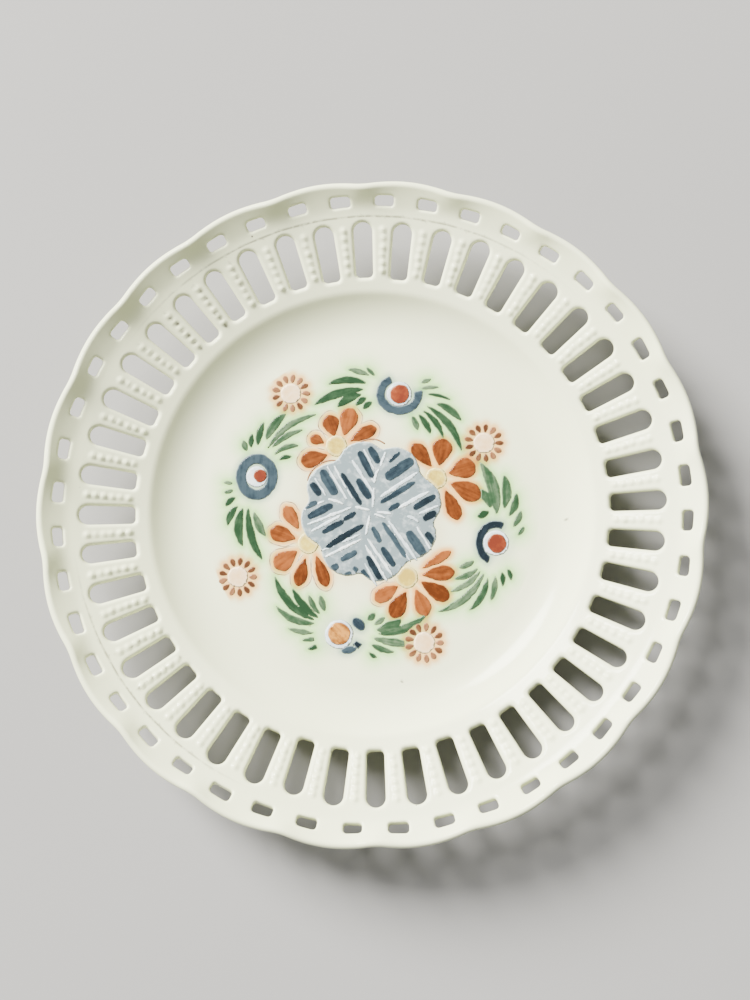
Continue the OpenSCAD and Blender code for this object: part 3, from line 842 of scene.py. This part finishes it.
def around(degrees, middle, half_width):
    """1 at an angle, falling to 0 beyond half_width from it."""
    off = (degrees - middle + 180) % 360 - 180
    return np.exp(-(off / half_width) ** 4)


def dark_marks_of(piece):
    """Darkening along the crease line and between the beads of the bars on one side, and dark specks."""
    co = coordinates(piece)
    r, theta = np.hypot(co[:, 0], co[:, 1]), np.arctan2(co[:, 1], co[:, 0])
    degrees = np.degrees(theta)
    # Darker along the crease line on two stretches of the rim.
    crease = np.exp(-((r - CREASE_R) / 0.2) ** 2)
    crease = 0.75 * crease * np.maximum(around(degrees, 95, 38), around(degrees, 217, 22))
    bar = np.floor(theta / PITCH).astype(int)
    side = r * (theta - (bar + 0.5) * PITCH)
    middle = np.degrees((bar + 0.5) * PITCH)
    # The gaps between the beads are darkened on the bars of two stretches of the rim.
    darkened = np.maximum(around(middle, 130, 14), around(middle, 213, 12))
    value = crease
    for i in range(BEADS + 1):
        gap = bead_r[bar % SLOTS, min(i, BEADS - 1)] + (BEAD_PITCH / 2 if i == BEADS else -BEAD_PITCH / 2)
        spot = np.exp(-((r - gap) ** 2 + (side - gap_side[bar % SLOTS, i]) ** 2) / 0.5 ** 2)
        value = np.maximum(value, spot * gap_darkness[bar % SLOTS, i] * darkened)
    for x, y in SPECKS:
        speck = np.exp(-(np.hypot(co[:, 0] - x, co[:, 1] - y) / 0.4) ** 4)
        value = np.maximum(value, speck * (co[:, 2] > FLOOR_Z - 0.5))
    value = np.minimum(value, 1)
    write_colour(piece, "dark_marks", np.repeat(value[:, None], 3, 1))


fine_lines = petal_outlines()
fine_lines.data.materials.append(line_material())
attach(fine_lines, "root")

GLAZE = glaze_material("white_glaze")
rim, well, foot = make_rim(), make_well(), make_foot()
for piece, slot, material, nodes in (
        (rim, "white_glaze", GLAZE, ("openwork_bars", "bar_beads", "rim_band", "scalloped_edge")),
        (well, "white_glaze", GLAZE, ("well_floor", "well_wall")),
        (foot, "foot_body", glaze_material("foot_body", bare_below=0.0002), ("foot_ring",))):
    piece.data.materials.append(material)
    dark_marks_of(piece)
    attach(piece, "root")
    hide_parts(*nodes)
wash_well(well)
for piece in (rim, foot):
    write_colour(piece, "wash", np.ones((len(piece.data.vertices), 3)))


# ---------------------------------------------------------------- stage
def make_floor():
    """Plain pale paper under the foot."""
    bpy.ops.mesh.primitive_plane_add(size=24, location=(0, 0, cad_low.z))
    floor = bpy.context.object
    floor.name = "floor"
    shader = Shader("floor_paper", 0.8)
    shader.colour(shader.ramp(shader.noise(3), (0.3, (0.250, 0.246, 0.238)), (0.7, (0.270, 0.266, 0.258))))
    floor.data.materials.append(shader.material)


def area_light(name, place, size, power, colour, glossy=True):
    """A round soft light that faces the plate; without `glossy` it makes no highlights."""
    data = bpy.data.lights.new(name, "AREA")
    data.shape, data.size, data.energy, data.color = "DISK", size, power, colour
    light = bpy.data.objects.new(name, data)
    light.location = place
    light.visible_glossy = glossy
    light.rotation_euler = (-light.location).to_track_quat("-Z", "Y").to_euler()
    bpy.context.scene.collection.objects.link(light)


def make_camera():
    """The photograph's view: from almost straight above, a little from the front."""
    data = bpy.data.cameras.new("camera")
    data.sensor_width, data.lens = 36, 43.2
    data.clip_start, data.clip_end = 0.01, 20
    camera = bpy.data.objects.new("camera", data)
    camera.location = (0.0177, -0.0374, 0.3777)
    camera.rotation_euler = [math.radians(a) for a in (6.21, 2.67, -1.26)]
    bpy.context.scene.collection.objects.link(camera)
    bpy.context.scene.camera = camera


def make_world():
    """Pale light from all round, which fills the shadows."""
    world = bpy.data.worlds.new("studio")
    world.use_nodes = True
    background = world.node_tree.nodes["Background"]
    socket(background, "Color", (0.93, 0.95, 0.96, 1))
    socket(background, "Strength", 0.24)
    bpy.context.scene.world = world


make_floor()
area_light("window", (-2.16, 2.10, 1.92), 1.65, 930, (1.0, 0.985, 0.95), glossy=False)
area_light("sheen", (-0.9, 1.0, 1.8), 0.7, 46, (1.0, 0.99, 0.96))
area_light("fill", (0.5, -0.6, 0.9), 1.2, 1.0, (0.94, 0.97, 1.0))
make_camera()
make_world()
